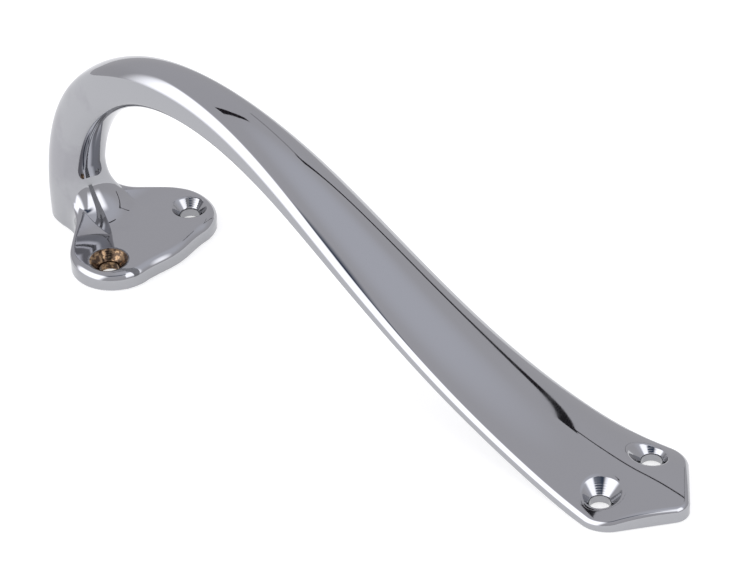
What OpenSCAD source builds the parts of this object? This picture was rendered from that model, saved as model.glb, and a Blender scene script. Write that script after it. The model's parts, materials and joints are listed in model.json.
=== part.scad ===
// Sash lift handle: a plated cast pull with a heart-shaped foot, a swan-neck bow and a pointed blade.
// Z = 0 is the face it is screwed to, +X runs from the foot to the tip, +Y is across the handle.
// The origin is the middle of the handle's box on that face.

/* [Fixing] */
// Distance along X from the foot screws to the tip screws
fixing_span = 160; // [150:1:170]
// Distance between the two foot screws
foot_spacing = 31; // [30:0.5:32]
// Distance between the two tip screws
tip_spacing = 20.4; // [19.5:0.1:21]
// Diameter of the screw's clearance hole
screw_d = 5.2; // [4.5:0.1:5.5]
// Diameter of the countersink at its mouth
sink_d = 10; // [9:0.1:10.5]
// Angle between the countersink's two sides
sink_angle = 90; // [82:1:100]

/* [Grip] */
// Height of the bow's crest above the face
crest_height = 63; // [58:1:68]
// Width of the round bar in the bow
bar_width = 13; // [12:0.5:14]
// Thickness of the blade at its middle
blade_thickness = 6.3; // [5.5:0.1:7]

/* [Foot] */
// Thickness of the foot flange
flange_thickness = 5.1; // [4.8:0.1:6]
// Radius of each rounded lobe that holds a screw
lobe_radius = 11.7; // [11:0.1:12.5]
// Distance between the centres of the two lobes
lobe_spacing = 22.6; // [22:0.1:24]
// Radius of the hollow where a lobe meets the neck
waist_radius = 11; // [8:0.5:14]
// Radius of the fillet between the neck and the flange
neck_fillet = 15; // [10:0.5:16]

/* [Tip] */
// Thickness of the tip pad under its screws
pad_thickness = 6.3; // [5.8:0.1:6.8]
// Half-width that the pad's two shoulders reach
pad_half_width = 18.8; // [18:0.1:20]
// Distance from the tip screws to the sharp point that the rounded apex is cut from
apex_reach = 19.5; // [18.5:0.1:21]
// Radius of the rounded apex
apex_radius = 3.2; // [2:0.2:5]

/* [Hidden] */
plating = "#b4b6ba";
eps = 0.01;

foot_x = -72.4;                        // foot screw line
tip_x = foot_x + fixing_span;          // tip screw line
neck_x = foot_x - 27.2;                // middle of the neck where it leaves the flange
lobe_x = foot_x - 2.1;
front_bulge = 1.2;                     // how far the flange's front edge swells past the lobes
shoulder_x = tip_x + 4.8;              // where the pad's sides turn in towards the apex
shoulder_blend = 2.5;                  // length over which a shoulder is rounded
apex_x = tip_x + apex_reach;
rise = (crest_height - 5) / 58;        // scales the height of the bow's control points
reach = fixing_span / 160;             // scales the length between foot and tip
sunk = 0.15;                           // the pad's stations sit this much low, so Z = 0 cuts it flat

// Control stations of the swept bar: [x, z, half-width, thickness, crown radius, top edge, bottom edge].
// The path and every size follow one uniform cubic B-spline through them.
STATIONS = [
    [neck_x + 0.3,         0,             7.4,             14.6, 9.0,  4.4, 3.0],
    [neck_x + 0.2,         12 * rise,     7.3,             15.5, 8.6,  4.4, 3.4],
    [neck_x + 2.6,         28.6 * rise,   bar_width / 2 + 0.1, 15.0, 8.2,  4.2, 3.4],
    [neck_x + 11.2,        44.2 * rise,   bar_width / 2,   14.6, 8.2,  4.2, 3.0],
    [foot_x + 3.5,         57.2 * rise,   bar_width / 2 + 0.1, 11.8, 8.5,  3.8, 2.2],
    [foot_x + 29.4 * reach, 57.9 * rise,  bar_width / 2 + 1.1, 9.2, 9.5,  3.0, 1.2],
    [foot_x + 55.6 * reach, 49.0 * rise,  9.7,             7.2,  12.5, 2.0, 0.8],
    [foot_x + 81.4 * reach, 32.7 * rise,  11.4, blade_thickness + 0.1, 17.0, 1.5, 0.6],
    [foot_x + 113.4 * reach, 14.3 * rise, 12.7, blade_thickness, 21.0, 1.3, 0.5],
    [foot_x + 148.5 * reach, pad_thickness / 2 - sunk, 15.2, pad_thickness + sunk, 30.0, 1.3, 0.5],
    [shoulder_x,           pad_thickness / 2 - sunk, pad_half_width, pad_thickness, 50.0, 1.4, 0.5],
    [apex_x,               2 - sunk,      pad_half_width,  4.0,  50.0, 1.4, 0.5]
];
LAST = len(STATIONS) - 1;

// Where the casting is divided, as positions along the spline
NECK_TOP = 2;
BOW_END = 5.5;
BLADE_END = 9.2;

// ---- uniform cubic B-spline ----
function station(i) =
    i < 0 ? 2 * STATIONS[0] - STATIONS[1] :
    i > LAST ? 2 * STATIONS[LAST] - STATIONS[LAST - 1] :
    STATIONS[i];
function spline(u) =
    let (
        i = min(floor(u), LAST - 1),
        t = u - i,
        a = pow(1 - t, 3),
        b = 3 * pow(t, 3) - 6 * t * t + 4,
        c = -3 * pow(t, 3) + 3 * t * t + 3 * t + 1
    )
    (a * station(i - 1) + b * station(i) + c * station(i + 1) + pow(t, 3) * station(i + 2)) / 6;

// Unit vector along the path, in the XZ plane
function heading(u) =
    let (
        before = spline(max(u - 0.02, 0)),
        after = spline(min(u + 0.02, LAST)),
        d = [after[0] - before[0], after[1] - before[1]]
    )
    d / norm(d);

// ---- width of the pad where its sides run in to the apex ----
function smooth_min(a, b, k) =
    let (h = max(k - abs(a - b), 0) / k)
    min(a, b) - h * h * k / 4;
half_apex = atan2(pad_half_width, apex_x - shoulder_x);
apex_centre = apex_x - apex_radius / sin(half_apex);
apex_end = apex_centre + apex_radius;
function side_half_width(x) = (apex_x - x) * tan(half_apex);
function tip_half_width(x, w) =
    x > apex_centre + apex_radius * sin(half_apex)
        ? sqrt(max(apex_radius * apex_radius - pow(x - apex_centre, 2), 0))
        : smooth_min(w, side_half_width(x), shoulder_blend);

// ---- cross-section: crowned top, filleted edges, flat underside ----
// Points are [y, n] with n outwards from the path, counter-clockwise from the +Y side.
function arc(cy, cn, r, from, to, steps) =
    [for (k = [0:steps]) let (a = from + (to - from) * k / steps) [cy + r * cos(a), cn + r * sin(a)]];
function section(w, t, crown, top_edge, bottom_edge) =
    let (
        r = min(top_edge, w * 0.6, t * 0.4),
        q = min(bottom_edge, w * 0.5, t * 0.25),
        big = max(crown, w + 0.5),
        drop = sqrt(pow(big - r, 2) - pow(w - r, 2)),
        slope = acos((w - r) / (big - r)),
        mid = t / 2 - big
    )
    concat(
        arc(w - r, mid + drop, r, 0, slope, 4),
        arc(0, mid, big, slope + (90 - slope) / 4, 180 - slope - (90 - slope) / 4, 6),
        arc(r - w, mid + drop, r, 180 - slope, 180, 4),
        arc(q - w, q - t / 2, q, 180, 270, 2),
        arc(w - q, q - t / 2, q, 270, 360, 2)
    );

// One ring of the sweep
function ring(u) =
    let (
        s = spline(u),
        d = heading(u),
        x = min(s[0], apex_end - eps),
        w = max(x > shoulder_x - 6 ? tip_half_width(x, s[2]) : s[2], 0.3)
    )
    [for (p = section(w, s[3], s[4], s[5], s[6])) [x - d[1] * p[1], p[0], max(s[1] + d[0] * p[1], 0)]];

// Closed solid through a list of rings
module skin(rings) {
    n = len(rings[0]);
    last = len(rings) - 1;
    points = [for (r = rings) each r];
    sides = [
        for (i = [0:last - 1], j = [0:n - 1])
            let (k = (j + 1) % n)
            each [[i * n + j, i * n + k, i * n + n + j], [i * n + k, i * n + n + k, i * n + n + j]]
    ];
    start_cap = [for (j = [n - 1:-1:0]) j];
    end_cap = [for (j = [0:n - 1]) last * n + j];
    polyhedron(points = points, faces = concat(sides, [start_cap, end_cap]), convexity = 6);
}
function rings_between(from, to, count) =
    [for (k = [0:count]) ring(from + (to - from) * k / count)];

// Clearance hole with a countersink whose mouth is at height z
module screw_hole(z) {
    sink_depth = (sink_d - screw_d) / 2 / tan(sink_angle / 2);
    translate([0, 0, -1]) cylinder(h = z + 2, d = screw_d, $fn = 64);
    translate([0, 0, z - sink_depth]) cylinder(h = sink_depth, d1 = screw_d, d2 = sink_d, $fn = 64);
    translate([0, 0, z - eps]) cylinder(h = 3, d = sink_d, $fn = 64);
}

// ---- foot flange ----
lobe_y = lobe_spacing / 2;
base_w = STATIONS[0][2];
base_back = neck_x - STATIONS[0][3] / 2;
base_front = neck_x + STATIONS[0][3] / 2;
waist_y = base_w + waist_radius;
waist_x = lobe_x - sqrt(pow(lobe_radius + waist_radius, 2) - pow(waist_y - lobe_y, 2));
waist_angle = atan2(lobe_y - waist_y, lobe_x - waist_x);
back_corner = 4;

// Half of the outline, from the middle of the back to the middle of the front
function half_outline() = concat(
    [[base_back, 0]],
    arc(base_back + back_corner, base_w - back_corner, back_corner, 180, 90, 6),
    arc(waist_x, waist_y, waist_radius, -90, waist_angle, 8),
    arc(lobe_x, lobe_y, lobe_radius, waist_angle + 180, 4, 20),
    [[lobe_x + lobe_radius + front_bulge, 0]]
);
module flange_outline() {
    half = half_outline();
    other = [for (i = [len(half) - 2:-1:1]) [half[i][0], -half[i][1]]];
    polygon(concat(half, other));
}
module foot_flange() {
    color(plating)
    difference() {
        linear_extrude(flange_thickness) flange_outline();
        for (side = [-1, 1])
            translate([foot_x, side * foot_spacing / 2, 0]) screw_hole(flange_thickness);
    }
}

// ---- neck, whose inner face flares out on to the flange ----
NECK_FOOT = 0.5;                       // position along the spline just above the flange
FLARE_RINGS = 8;

// How far a fillet of radius r stands out at height h above its foot
function flare(h, r) = h >= r ? 0 : r - sqrt(r * r - pow(r - max(h, 0), 2));
function flared(points) =
    [
        for (p = points)
            let (inner = min(max((p[0] - neck_x) / (base_front - neck_x), 0), 1))
            [p[0] + inner * flare(p[2] - flange_thickness, neck_fillet), p[1], p[2]]
    ];
function level(points, z) = [for (p = points) [p[0], p[1], z]];
module neck() {
    foot_ring = ring(NECK_FOOT);
    steps = [for (k = [0:FLARE_RINGS]) neck_fillet * pow(k / FLARE_RINGS, 2) / 3];
    color(plating)
    skin(concat(
        [for (h = steps) flared(level(foot_ring, flange_thickness + h))],
        [for (r = rings_between(NECK_FOOT + 0.36, NECK_TOP, 12)) flared(r)]
    ));
}

// ---- bow, blade and pad ----
module bow() {
    color(plating) skin(rings_between(NECK_TOP, BOW_END, 28));
}
module grip_blade() {
    color(plating) skin(rings_between(BOW_END, BLADE_END, 24));
}
sink_top = 4.8;                        // height of the countersink's mouth on the crowned pad
module tip_pad() {
    color(plating)
    difference() {
        skin(rings_between(BLADE_END, LAST, 18));
        for (side = [-1, 1])
            translate([tip_x, side * tip_spacing / 2, 0]) screw_hole(sink_top);
    }
}

foot_flange();
neck();
bow();
grip_blade();
tip_pad();
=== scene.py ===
import json

import bmesh
import bpy
import numpy as np
from mathutils import Matrix, Vector


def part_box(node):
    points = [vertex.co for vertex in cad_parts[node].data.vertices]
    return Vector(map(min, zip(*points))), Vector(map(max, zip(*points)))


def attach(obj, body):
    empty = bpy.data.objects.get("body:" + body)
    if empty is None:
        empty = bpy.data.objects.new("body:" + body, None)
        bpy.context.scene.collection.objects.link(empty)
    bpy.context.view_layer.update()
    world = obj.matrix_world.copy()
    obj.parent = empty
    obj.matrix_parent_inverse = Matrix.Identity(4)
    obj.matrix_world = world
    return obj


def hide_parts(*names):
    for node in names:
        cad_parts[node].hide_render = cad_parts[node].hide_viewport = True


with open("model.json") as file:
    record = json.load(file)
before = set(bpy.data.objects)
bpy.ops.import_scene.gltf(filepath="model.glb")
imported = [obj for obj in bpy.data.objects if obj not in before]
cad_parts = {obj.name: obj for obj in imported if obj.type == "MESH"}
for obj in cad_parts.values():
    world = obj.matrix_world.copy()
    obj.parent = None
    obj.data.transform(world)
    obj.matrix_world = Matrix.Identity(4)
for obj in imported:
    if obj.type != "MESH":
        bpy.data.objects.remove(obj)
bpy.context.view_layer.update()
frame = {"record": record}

# ---------------------------------------------------------------- sizes, in millimetres
MM = 1000.0
mounts = {m["name"]: m for m in frame["record"]["mounts"]}
FOOT_X = mounts["foot_screws"]["pos_m"][0] * MM
TIP_X = mounts["tip_screws"]["pos_m"][0] * MM
FOOT_HOLE_Y = mounts["foot_screws"]["dims"]["spacing_y_mm"] / 2
TIP_HOLE_Y = mounts["tip_screws"]["dims"]["spacing_y_mm"] / 2
HOLE_R = mounts["foot_screws"]["dims"]["hole_r_mm"]
FLANGE_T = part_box("foot_flange")[1][2] * MM

SINK_R = 5.0          # countersink at its mouth
SINK_RIM = 0.35       # polishing rounds the countersink's rim
SINK_ROOM = 3         # how far above its mouth a countersink is kept clear
BORE_EDGE = 0.2       # rounding between a bore and its countersink
BASE_EDGE = 0.3       # rounding round the fixing face
PAD_MOUTH = 4.8       # height of the pad's crowned top at its screws
NECK_X = FOOT_X - 27.2
SHOULDER_X = TIP_X + 4.8
APEX_X = TIP_X + 19.5
PAD_HALF = 18.8
SHOULDER_R = 4.0
APEX_R = 3.2
NECK_FILLET = 15.0
WAIST_R = 11.0
RIM_BACK = 1.2        # rounding of the flange's rim beside the neck
RIM_FRONT = 2.8       # and along its front
LOBE_X = FOOT_X - 2.1
LOBE_Y = 11.3
LOBE_R = 11.7
FRONT_BULGE = 1.2
FOOT_END_U = 2.2      # the foot is shaped before this point of the path,
FOOT_TOP = 28         # below this height
FOOT_END_X = FOOT_X + 25
WAIST_RISE = 18       # height over which the waist's rounding fades out
RING_POINTS = 112     # points round each section of the bar

# Control stations of the bar:
# [x, z, half-width, thickness, crown radius, top edge, bottom edge, curvature of the inner face]
STATIONS = np.array([
    [NECK_X + 0.3, 0, 7.4, 14.6, 9.0, 4.4, 3.0, 0.10],
    [NECK_X + 0.2, 12, 7.3, 15.5, 8.6, 4.4, 3.4, 0.11],
    [NECK_X + 2.6, 28.6, 6.6, 15.0, 8.2, 4.2, 3.4, 0.11],
    [NECK_X + 11.2, 44.2, 6.5, 14.6, 8.2, 4.2, 3.0, 0.10],
    [FOOT_X + 3.5, 57.2, 6.6, 11.8, 8.5, 3.8, 2.2, 0.06],
    [FOOT_X + 29.4, 57.9, 7.6, 9.2, 9.5, 3.0, 1.2, 0.02],
    [FOOT_X + 55.6, 49.0, 9.7, 7.2, 12.5, 2.0, 0.8, 0],
    [FOOT_X + 81.4, 32.7, 11.4, 6.4, 17.0, 1.5, 0.6, 0],
    [FOOT_X + 113.4, 14.3, 12.7, 6.3, 21.0, 1.3, 0.5, 0],
    [FOOT_X + 148.5, 3.0, 15.2, 6.45, 30.0, 1.3, 0.5, 0],
    [SHOULDER_X, 3.0, 18.8, 6.3, 50.0, 1.4, 0.5, 0],
    [APEX_X, 1.85, 18.8, 4.0, 50.0, 1.4, 0.5, 0],
])
LAST = len(STATIONS) - 1
PADDED = np.vstack([2 * STATIONS[0] - STATIONS[1], STATIONS, 2 * STATIONS[-1] - STATIONS[-2]])
PATH = slice(0, 2)
NECK_TOP = 2.0
BOW_END = 5.5
BLADE_END = 9.2


# ---------------------------------------------------------------- the bar's path, a uniform cubic B-spline
def basis(t, order):
    if order == 0:
        return (1 - t) ** 3, 3 * t**3 - 6 * t**2 + 4, -3 * t**3 + 3 * t**2 + 3 * t + 1, t**3
    if order == 1:
        return -3 * (1 - t) ** 2, 9 * t**2 - 12 * t, -9 * t**2 + 6 * t + 3, 3 * t**2
    return 6 * (1 - t), 18 * t - 12, -18 * t + 6, 6 * t


def spline(u, order=0, columns=slice(None)):
    i = np.minimum(u.astype(int), LAST - 1)
    weights = basis(u - i, order)
    return sum(b[..., None] * PADDED[i + k][..., columns] for k, b in enumerate(weights)) / 6


def nearest_sample(x, z):
    """The path's closest sample to each point, as a first guess"""
    samples = np.linspace(0, LAST, 331)
    c = spline(samples, 0, PATH)
    flat_x, flat_z = x.ravel(), z.ravel()
    u = np.empty(flat_x.size)
    for start in range(0, flat_x.size, 20000):
        part = slice(start, start + 20000)
        d = (flat_x[part, None] - c[:, 0]) ** 2 + (flat_z[part, None] - c[:, 1]) ** 2
        u[part] = samples[d.argmin(1)]
    return u.reshape(x.shape)


def locate(x, z, u=None):
    """Where along the path each point is, how far outwards it is, and the section's sizes there"""
    rounds = 5 if u is None else 2
    u = nearest_sample(x, z) if u is None else u
    for _ in range(rounds):
        c, d, dd = (spline(u, order, PATH) for order in range(3))
        ex, ez = c[..., 0] - x, c[..., 1] - z
        speed = d[..., 0] ** 2 + d[..., 1] ** 2
        slope = ex * d[..., 0] + ez * d[..., 1]
        bend = np.maximum(speed + ex * dd[..., 0] + ez * dd[..., 1], speed / 4)
        u = np.clip(u - np.clip(slope / bend, -0.1, 0.1), 0, LAST)
    s, d = spline(u), spline(u, 1, PATH)
    d = d / np.linalg.norm(d, axis=-1, keepdims=True)
    n = (z - s[..., 1]) * d[..., 0] - (x - s[..., 0]) * d[..., 1]
    return u, n, s


# ---------------------------------------------------------------- the casting as one signed field
def round_max(a, b, r):
    """Where both a and b are negative, with their common edge rounded"""
    return np.minimum(-r, np.maximum(a, b)) + np.hypot(np.maximum(a + r, 0), np.maximum(b + r, 0))


def round_min(a, b, r):
    return -round_max(-a, -b, r)


def eased(t):
    t = np.clip(t, 0, 1)
    return t * t * (3 - 2 * t)


def screw_hole(x, y, z, hole_x, hole_y, mouth):
    rho = np.hypot(x - hole_x, np.abs(y) - hole_y)
    cone_foot = mouth - (SINK_R - HOLE_R)
    cone = (rho - HOLE_R - (z - cone_foot)) * np.sqrt(0.5)
    return np.maximum(round_min(rho - HOLE_R, cone, BORE_EDGE), z - mouth - SINK_ROOM)


def pad_point(x, ay):
    """The two end edges that run in to the rounded apex"""
    run = APEX_X - SHOULDER_X
    length = np.hypot(run, PAD_HALF)
    this_side = ((x - APEX_X) * PAD_HALF + ay * run) / length
    that_side = ((x - APEX_X) * PAD_HALF - ay * run) / length
    return round_max(this_side, that_side, APEX_R)


def lobes(x, y):
    """Plan of the foot's two lobes, with a slight swell along its front edge"""
    along = x - LOBE_X
    swell = FRONT_BULGE * np.cos(np.clip(y / LOBE_Y, -1, 1) * np.pi / 2) ** 2
    along = np.where(along > 0, along - swell, along)
    return np.hypot(along, np.maximum(np.abs(y) - LOBE_Y, 0)) - LOBE_R


def field(x, y, z, place):
    """Negative inside the casting"""
    u, n, s = place
    w, t, crown, top_r, low_r, inner = (s[..., k] for k in range(2, 8))
    ay = np.abs(y)
    foot = (u < FOOT_END_U) & (z < FOOT_TOP) & (x < FOOT_END_X)
    waist = 1 + (WAIST_R - 1) * eased((FLANGE_T + WAIST_RISE - z) / WAIST_RISE)
    strip = round_min(np.maximum(ay - w, x - LOBE_X), lobes(x, y), waist)
    side = np.where(foot, strip, round_max(ay - w, pad_point(x, ay), SHOULDER_R))
    root = np.sqrt(np.maximum(crown**2 - np.minimum(ay, w) ** 2, 1))
    top = (n - (t / 2 - crown + root)) * root / crown
    low = -t / 2 - n + inner * np.minimum(ay, w) ** 2 / 2
    low = np.where(foot, round_min(low, z - FLANGE_T, NECK_FILLET), low)
    rim = RIM_BACK + (RIM_FRONT - RIM_BACK) * eased((x - FOOT_X + 12) / 14)
    edge = np.where(foot, low_r + (rim - low_r) * eased((FLANGE_T + 4 - z) / 3), low_r)
    f = round_max(round_max(side, top, top_r), low, edge)
    f = round_max(f, -z, BASE_EDGE)
    holes = np.minimum(
        screw_hole(x, y, z, FOOT_X, FOOT_HOLE_Y, FLANGE_T),
        screw_hole(x, y, z, TIP_X, TIP_HOLE_Y, PAD_MOUTH),
    )
    return round_max(f, -holes, SINK_RIM)


def value(p, u=None):
    return field(p[:, 0], p[:, 1], p[:, 2], locate(p[:, 0], p[:, 2], u))


def gradient(p, u, step=0.01):
    out = np.empty_like(p)
    for k in range(3):
        ahead, behind = p.copy(), p.copy()
        ahead[:, k] += step
        behind[:, k] -= step
        out[:, k] = (value(ahead, u) - value(behind, u)) / (2 * step)
    return out


def settle(p, rounds=4, reach=0.2):
    """Moves points on to the surface"""
    u = locate(p[:, 0], p[:, 2])[0]
    for _ in range(rounds):
        g = gradient(p, u)
        move = -value(p, u)[:, None] * g / np.maximum((g * g).sum(1), 0.05)[:, None]
        length = np.linalg.norm(move, axis=1, keepdims=True)
        p = p + move * np.minimum(1, reach / np.maximum(length, 1e-9))
    return p


def normals_at(p):
    g = gradient(p, locate(p[:, 0], p[:, 2])[0])
    return g / np.linalg.norm(g, axis=1, keepdims=True)


# ---------------------------------------------------------------- meshes
def surface_net(low, high, step):
    """Quads over the field's zero surface inside a box"""
    gx, gy, gz = (np.arange(a, b + step, step) for a, b in zip(low, high))
    place = locate(*np.meshgrid(gx, gz, indexing="ij"))
    place = tuple(v[:, None] for v in place)
    f = field(gx[:, None, None], gy[None, :, None], gz[None, None, :], place)
    inside = f < 0
    cells = tuple(n - 1 for n in f.shape)
    total, count = np.zeros(cells + (3,)), np.zeros(cells)
    crossings = []
    for axis in range(3):
        a = [slice(None)] * 3
        b = [slice(None)] * 3
        a[axis], b[axis] = slice(None, -1), slice(1, None)
        fa, fb = f[tuple(a)], f[tuple(b)]
        cross = inside[tuple(a)] != inside[tuple(b)]
        i = np.argwhere(cross)
        crossings.append((i, inside[tuple(a)][cross]))
        at = i.astype(float)
        at[:, axis] += (fa / np.where(cross, fa - fb, 1))[cross]
        p, q = (k for k in range(3) if k != axis)
        for dp in (0, 1):
            for dq in (0, 1):
                c = i.copy()
                c[:, p] -= dp
                c[:, q] -= dq
                ok = ((c >= 0) & (c < cells)).all(1)
                key = tuple(c[ok].T)
                np.add.at(total, key, at[ok])
                np.add.at(count, key, 1)
    used = count > 0
    index = np.full(cells, -1)
    index[used] = np.arange(used.sum())
    verts = total[used] / count[used][:, None] * step + [gx[0], gy[0], gz[0]]
    quads = []
    for axis, (i, starts_inside) in enumerate(crossings):
        p, q = (axis + 1) % 3, (axis + 2) % 3
        ok = (i[:, p] > 0) & (i[:, q] > 0) & (i[:, p] < cells[p]) & (i[:, q] < cells[q])
        i, starts_inside = i[ok], starts_inside[ok]
        corners = []
        for dp, dq in ((1, 1), (0, 1), (0, 0), (1, 0)):
            c = i.copy()
            c[:, p] -= dp
            c[:, q] -= dq
            corners.append(index[tuple(c.T)])
        quad = np.stack(corners, 1)
        quads.append(np.where(starts_inside[:, None], quad, quad[:, ::-1]))
    return settle(verts), np.concatenate(quads)


def cut_plane(u):
    """Point and direction of the path at u, in millimetres"""
    u = np.array([u])
    c, d = spline(u, 0, PATH)[0], spline(u, 1, PATH)[0]
    return Vector((c[0], 0, c[1])), Vector((d[0], 0, d[1])).normalized()


def trimmed(verts, quads, cut, keep_before):
    """Cuts the mesh square across the path and closes the cut"""
    mesh = bpy.data.meshes.new("trim")
    mesh.from_pydata(verts.tolist(), [], quads.tolist())
    bm = bmesh.new()
    bm.from_mesh(mesh)
    bpy.data.meshes.remove(mesh)
    point, direction = cut_plane(cut)
    everything = bm.verts[:] + bm.edges[:] + bm.faces[:]
    bmesh.ops.bisect_plane(
        bm, geom=everything, dist=1e-4, plane_co=point, plane_no=direction,
        clear_outer=keep_before, clear_inner=not keep_before,
    )
    bmesh.ops.remove_doubles(bm, verts=bm.verts[:], dist=1e-3)
    bmesh.ops.holes_fill(bm, edges=[e for e in bm.edges if e.is_boundary], sides=0)
    bm.verts.index_update()
    verts = np.array([v.co[:] for v in bm.verts])
    faces = [[v.index for v in face.verts] for face in bm.faces]
    bm.free()
    return verts, faces


def section_points(u, count):
    """Points round each section, closer together where it turns"""
    s = spline(u)
    angle = np.linspace(-np.pi / 2, 1.5 * np.pi, 721)
    dy, dn = np.cos(angle), np.sin(angle)
    low, high = np.zeros((len(u), len(angle))), np.full((len(u), len(angle)), 30.0)
    c, d = s[:, PATH], spline(u, 1, PATH)
    d = d / np.linalg.norm(d, axis=1, keepdims=True)

    def spot(y, n):
        return c[:, :1] - d[:, 1:] * n, y, c[:, 1:] + d[:, :1] * n

    for _ in range(36):
        r = (low + high) / 2
        x, y, z = spot(r * dy, r * dn)
        f = field(x, y, z, (np.broadcast_to(u[:, None], r.shape), r * dn, s[:, None]))
        low, high = np.where(f < 0, r, low), np.where(f < 0, high, r)
    ring = np.stack([low * dy, low * dn], -1)
    side = np.diff(ring, axis=1)
    length = np.linalg.norm(side, axis=2)
    heading = np.unwrap(np.arctan2(side[..., 1], side[..., 0]), axis=1)
    turn = np.abs(np.diff(heading, axis=1, append=heading[:, -1:]))
    mark = np.concatenate([np.zeros((len(u), 1)), np.cumsum(length + 3 * turn, 1)], 1)
    out = np.empty((len(u), count, 3))
    for k in range(len(u)):
        at = np.linspace(0, mark[k, -1], count, endpoint=False)
        y, n = (np.interp(at, mark[k], ring[k, :, j]) for j in range(2))
        out[k] = np.stack([c[k, 0] - d[k, 1] * n, y, c[k, 1] + d[k, 0] * n], 1)
    return out


def swept(start, end, rings, count):
    """A stretch of the bar as rings of quads, closed with a flat cap at each end"""
    points = section_points(np.linspace(start, end, rings + 1), count)
    k = np.arange(count)
    after = np.roll(k, -1)
    faces = []
    for i in range(rings):
        a, b = i * count, (i + 1) * count
        faces += np.stack([a + k, a + after, b + after, b + k], 1).tolist()
    faces += [k[::-1].tolist(), (rings * count + k).tolist()]
    verts = points.reshape(-1, 3)
    inner = slice(count, rings * count)
    verts[inner] = settle(verts[inner], 2)
    return verts, faces


def add_piece(name, verts, faces, cuts, material, *nodes):
    """Makes a piece with the field's own normals, so that its reflections run on across the joins"""
    mesh = bpy.data.meshes.new(name)
    mesh.from_pydata((verts / MM).tolist(), [], faces)
    mesh.materials.append(material)
    mesh.polygons.foreach_set("use_smooth", np.ones(len(mesh.polygons), bool))
    mesh.update()
    loops = np.empty(len(mesh.loops), np.int32)
    mesh.loops.foreach_get("vertex_index", loops)
    normals = normals_at(verts)[loops]
    planes = [cut_plane(u) for u in cuts]
    for face in mesh.polygons:
        for point, direction in planes:
            off = max(abs((Vector(verts[v]) - point).dot(direction)) for v in face.vertices)
            if off < 2e-3:
                normals[face.loop_start:face.loop_start + face.loop_total] = face.normal
    mesh.normals_split_custom_set(normals.tolist())
    obj = bpy.data.objects.new(name, mesh)
    bpy.context.scene.collection.objects.link(obj)
    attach(obj, "root")
    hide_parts(*nodes)


# ---------------------------------------------------------------- node helpers
class Nodes:
    """Short ways to add shader nodes to a tree and join them"""

    def __init__(self, tree):
        self.tree = tree
        tree.nodes.clear()

    def add(self, kind, **settings):
        node = self.tree.nodes.new(kind)
        for key, setting in settings.items():
            setattr(node, key, setting)
        return node

    def feed(self, socket, source):
        if isinstance(source, bpy.types.NodeSocket):
            self.tree.links.new(source, socket)
        else:
            socket.default_value = source

    def math(self, operation, a, b=0.0):
        node = self.add("ShaderNodeMath", operation=operation)
        self.feed(node.inputs[0], a)
        self.feed(node.inputs[1], b)
        return node.outputs[0]

    def ramp(self, a, low, high, out_low=0.0, out_high=1.0):
        node = self.add("ShaderNodeMapRange", interpolation_type="SMOOTHSTEP")
        for k, source in enumerate((a, low, high, out_low, out_high)):
            self.feed(node.inputs[k], source)
        return node.outputs[0]

    def mix(self, amount, a, b):
        node = self.add("ShaderNodeMix", data_type="RGBA")
        self.feed(node.inputs[0], amount)
        self.feed(node.inputs[6], a)
        self.feed(node.inputs[7], b)
        return node.outputs[2]

    def dot(self, vector, constant):
        node = self.add("ShaderNodeVectorMath", operation="DOT_PRODUCT")
        self.feed(node.inputs[0], vector)
        node.inputs[1].default_value = constant
        return node.outputs["Value"]

    def noise(self, vector, scale, detail=2.0, roughness=0.5):
        node = self.add("ShaderNodeTexNoise")
        self.feed(node.inputs["Vector"], vector)
        node.inputs["Scale"].default_value = scale
        node.inputs["Detail"].default_value = detail
        node.inputs["Roughness"].default_value = roughness
        return node.outputs[0]


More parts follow.
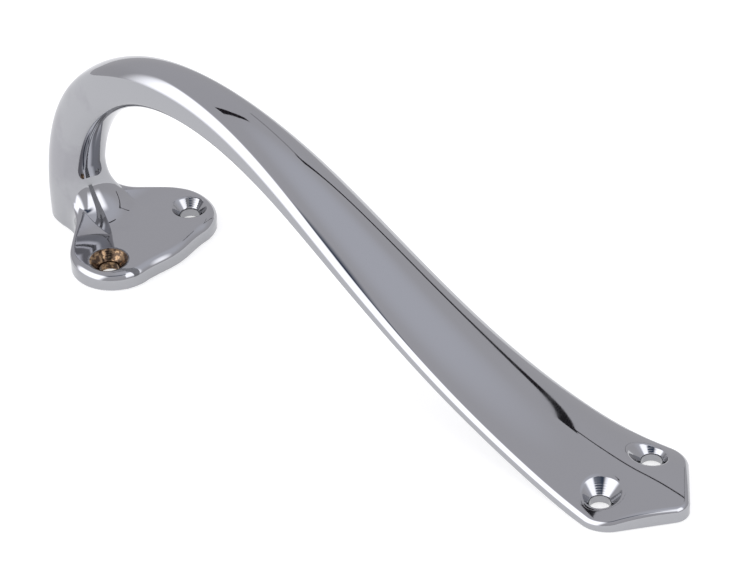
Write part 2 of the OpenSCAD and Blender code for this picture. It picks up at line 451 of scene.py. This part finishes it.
# ---------------------------------------------------------------- materials
def plated_metal():
    material = bpy.data.materials.new("chrome_plate")
    material.use_nodes = True
    n = Nodes(material.node_tree)
    place = n.add("ShaderNodeTexCoord").outputs["Object"]
    axes = n.add("ShaderNodeSeparateXYZ")
    n.feed(axes.inputs[0], place)
    x, y, z = axes.outputs

    def axis_distance(hole_x, across, hole_y):
        dx, dy = n.math("SUBTRACT", x, hole_x / MM), n.math("SUBTRACT", across, hole_y / MM)
        return n.math("SQRT", n.math("ADD", n.math("MULTIPLY", dx, dx), n.math("MULTIPLY", dy, dy)))

    fine = n.noise(place, 900.0, 3.0)
    wobble = n.math("MULTIPLY", fine, 0.0003)

    # the countersinks are turned, which leaves faint rings
    either = n.math("ABSOLUTE", y)
    foot_rho = axis_distance(FOOT_X, either, FOOT_HOLE_Y)
    tip_rho = axis_distance(TIP_X, either, TIP_HOLE_Y)
    rho = n.math("MINIMUM", foot_rho, tip_rho)
    turned = n.ramp(n.math("ADD", rho, wobble), 0.0051, 0.0048)
    rings = n.math("SINE", n.math("MULTIPLY", rho, 14000.0))

    # bare, tarnished brass where the plating did not reach into one foot countersink
    bare_rho = axis_distance(FOOT_X, y, -FOOT_HOLE_Y)
    bare = n.ramp(n.math("ADD", bare_rho, wobble), 0.0054, 0.0052)

    # faint haze, the plating darker in patches from the foot screws back to the neck, pits in the casting,
    # and the satin of the unpolished back
    haze = n.ramp(n.noise(place, 55.0, 4.0, 0.6), 0.5, 0.68)
    neck_darkening = n.math("MULTIPLY", haze, n.ramp(x, -0.070, -0.085))
    back = n.ramp(z, 0.00012, 0.00002)
    pits_near = n.add("ShaderNodeTexVoronoi")
    n.feed(pits_near.inputs["Vector"], place)
    pits_near.inputs["Scale"].default_value = 160.0
    chance = n.add("ShaderNodeSeparateXYZ")
    n.feed(chance.inputs[0], pits_near.outputs["Color"])
    rare = n.math("GREATER_THAN", chance.outputs[0], 0.93)
    pit = n.math("MULTIPLY", n.ramp(pits_near.outputs["Distance"], 0.055, 0.03), rare)

    plating = n.mix(neck_darkening, (0.372, 0.376, 0.392, 1), (0.335, 0.335, 0.355, 1))
    plating = n.mix(pit, plating, (0.06, 0.055, 0.05, 1))
    brown = n.mix(n.ramp(fine, 0.42, 0.62), (0.075, 0.05, 0.035, 1), (0.33, 0.22, 0.13, 1))
    colour = n.mix(bare, plating, brown)

    rough = n.math("ADD", n.math("MULTIPLY", haze, 0.03), n.math("MULTIPLY", fine, 0.02))
    rough = n.math("ADD", rough, 0.03)
    rough = n.math("ADD", rough, n.math("MULTIPLY", turned, 0.02))
    rough = n.math("ADD", rough, n.math("MULTIPLY", bare, 0.06))
    rough = n.math("ADD", rough, n.math("MULTIPLY", back, 0.3))

    relief = n.math("SUBTRACT", n.math("MULTIPLY", n.math("MULTIPLY", rings, turned), 0.04), pit)
    relief = n.math("ADD", relief, n.math("MULTIPLY", n.math("MULTIPLY", fine, bare), 0.5))
    relief = n.math("ADD", relief, n.math("MULTIPLY", n.math("MULTIPLY", fine, back), 0.4))
    bump = n.add("ShaderNodeBump")
    bump.inputs["Strength"].default_value = 0.4
    bump.inputs["Distance"].default_value = 0.0001
    n.feed(bump.inputs["Height"], relief)

    shader = n.add("ShaderNodeBsdfPrincipled")
    shader.inputs["Metallic"].default_value = 1.0
    n.feed(shader.inputs["Base Color"], colour)
    n.feed(shader.inputs["Roughness"], rough)
    n.feed(shader.inputs["Normal"], bump.outputs[0])
    n.feed(n.add("ShaderNodeOutputMaterial").inputs[0], shader.outputs[0])
    return material


def pale_floor():
    material = bpy.data.materials.new("pale_floor")
    material.use_nodes = True
    n = Nodes(material.node_tree)
    shader = n.add("ShaderNodeBsdfPrincipled")
    shader.inputs["Base Color"].default_value = (0.5, 0.5, 0.5, 1)
    shader.inputs["Roughness"].default_value = 1.0
    shader.inputs["Specular IOR Level"].default_value = 0.0
    shader.inputs["Emission Color"].default_value = (1, 1, 1, 1)
    shader.inputs["Emission Strength"].default_value = 0.62
    n.feed(n.add("ShaderNodeOutputMaterial").inputs[0], shader.outputs[0])
    return material


# ---------------------------------------------------------------- studio
# Dark gaps in the light tent, as [x, y, z, half-width] in millimetres: one up its back wall,
# one across its roof, and a seam that slopes along the wall
WALL_GAP = [(11, 329, 90, 5), (11, 329, 250, 6), (10, 329, 320, 9), (6, 329, 368, 13)]
ROOF_GAP = [(-78, 170, 385, 7), (-91, 93, 385, 10), (-120, -10, 385, 14)]
SEAM = [(8, 329, 345, 6), (-130, 329, 318, 6)]


def direction(azimuth, elevation):
    """Unit vector; azimuth 0 is -Y, 90 is +X"""
    a, e = np.radians([azimuth, elevation])
    return np.array([np.sin(a) * np.cos(e), -np.cos(a) * np.cos(e), np.sin(e)])


def soft_box(n, ray, azimuth, elevation, half_wide, half_high, blur_wide, blur_high):
    """How far a ray falls inside a soft-edged rectangle of the studio, from 0 to 1"""
    to = direction(azimuth, elevation)
    right = np.cross((0, 0, 1), to)
    right /= np.linalg.norm(right)
    up = np.cross(to, right)
    wide = n.math("ABSOLUTE", n.math("ARCTAN2", n.dot(ray, right), n.dot(ray, to)))
    high = n.math("ABSOLUTE", n.math("ARCSINE", n.dot(ray, up)))
    wide_limits = np.radians([half_wide + blur_wide, half_wide - blur_wide])
    high_limits = np.radians([half_high + blur_high, half_high - blur_high])
    return n.math("MULTIPLY", n.ramp(wide, *wide_limits), n.ramp(high, *high_limits))


def studio():
    world = bpy.data.worlds.new("studio")
    world.use_nodes = True
    bpy.context.scene.world = world
    n = Nodes(world.node_tree)
    ray = n.add("ShaderNodeTexCoord").outputs["Generated"]
    height = n.dot(ray, (0, 0, 1))
    sky = n.mix(n.ramp(height, 0.1, 0.7), (0.72, 0.71, 0.74, 1), (0.78, 0.77, 0.81, 1))
    front = n.ramp(n.dot(ray, tuple(direction(115, 55))), 0.75, 0.98)
    sky = n.mix(front, sky, (0.90, 0.91, 0.99, 1))

    # one soft light on each side of the camera, and the dark slot it looks through
    left = soft_box(n, ray, -22, 26, 30, 24, 9, 6)
    right = soft_box(n, ray, 92, 36, 20, 20, 6, 8)
    sky = n.mix(left, sky, (2.9, 2.9, 3.0, 1))
    sky = n.mix(right, sky, (2.6, 2.6, 2.7, 1))
    slot = soft_box(n, ray, 45, 53, 20, 3.5, 6, 2.5)
    sky = n.mix(slot, sky, (0.07, 0.10, 0.16, 1))
    background = n.add("ShaderNodeBackground")
    n.feed(background.inputs[0], sky)
    n.feed(n.add("ShaderNodeOutputWorld").inputs[0], background.outputs[0])

    bpy.ops.mesh.primitive_circle_add(vertices=96, radius=4.0, fill_type="NGON", location=(0, 0, -0.0002))
    floor = bpy.context.object
    floor.name = "floor"
    floor.data.materials.append(pale_floor())


def tent_gap(name, stations, across, material):
    """A dark strip that only reflections see"""
    stations = np.array(stations, float)
    path, half = stations[:, :3], stations[:, 3:] * across
    verts = np.concatenate([path - half, path + half]) / MM
    count = len(path)
    faces = [(k, k + 1, count + k + 1, count + k) for k in range(count - 1)]
    mesh = bpy.data.meshes.new(name)
    mesh.from_pydata(verts.tolist(), [], faces)
    mesh.materials.append(material)
    gap = bpy.data.objects.new(name, mesh)
    gap.visible_camera = False
    gap.visible_shadow = False
    gap.visible_diffuse = False
    bpy.context.scene.collection.objects.link(gap)


def tent_gaps():
    material = bpy.data.materials.new("tent_gap")
    material.use_nodes = True
    n = Nodes(material.node_tree)
    dark = n.add("ShaderNodeEmission")
    dark.inputs[0].default_value = (0.03, 0.028, 0.033, 1)
    n.feed(n.add("ShaderNodeOutputMaterial").inputs[0], dark.outputs[0])
    tent_gap("wall_gap", WALL_GAP, (1, 0, 0), material)
    tent_gap("roof_gap", ROOF_GAP, (1, 0, 0), material)
    tent_gap("seam", SEAM, (0, 0, 1), material)


def camera():
    azimuth, elevation, roll = 42.2, 36.3, -2.1
    distance, focal = 0.9031, 172.94
    target = np.array([(80.3 + FOOT_X) / MM, 0, 0.02527])
    back = direction(azimuth, elevation)
    right = np.cross((0, 0, 1), back)
    right /= np.linalg.norm(right)
    up = np.cross(back, right)
    c, s = np.cos(np.radians(roll)), np.sin(np.radians(roll))
    turned = np.stack([right * c + up * s, -right * s + up * c, back], 1)
    data = bpy.data.cameras.new("camera")
    data.lens = focal
    data.sensor_width = 36.0
    data.clip_start = 0.01
    obj = bpy.data.objects.new("camera", data)
    obj.matrix_world = Matrix.Translation(Vector(target + back * distance)) @ Matrix(turned.tolist()).to_4x4()
    bpy.context.scene.collection.objects.link(obj)
    bpy.context.scene.camera = obj


# ---------------------------------------------------------------- build
camera()
studio()
tent_gaps()
bpy.context.scene.view_settings.view_transform = "Standard"
metal = plated_metal()

foot = surface_net((-108, -24, -0.7), (-59, 24, 34), 0.35)
pad = surface_net((75, -19, -0.7), (108, 19, 9), 0.25)
add_piece("foot_and_neck", *trimmed(*foot, NECK_TOP, True), [NECK_TOP], metal, "foot_flange", "neck")
bow = swept(NECK_TOP, BOW_END, 140, RING_POINTS)
blade = swept(BOW_END, BLADE_END, 150, RING_POINTS)
add_piece("bow", *bow, [NECK_TOP, BOW_END], metal, "bow")
add_piece("grip_blade", *blade, [BOW_END, BLADE_END], metal, "grip_blade")
add_piece("tip_pad", *trimmed(*pad, BLADE_END, False), [BLADE_END], metal, "tip_pad")
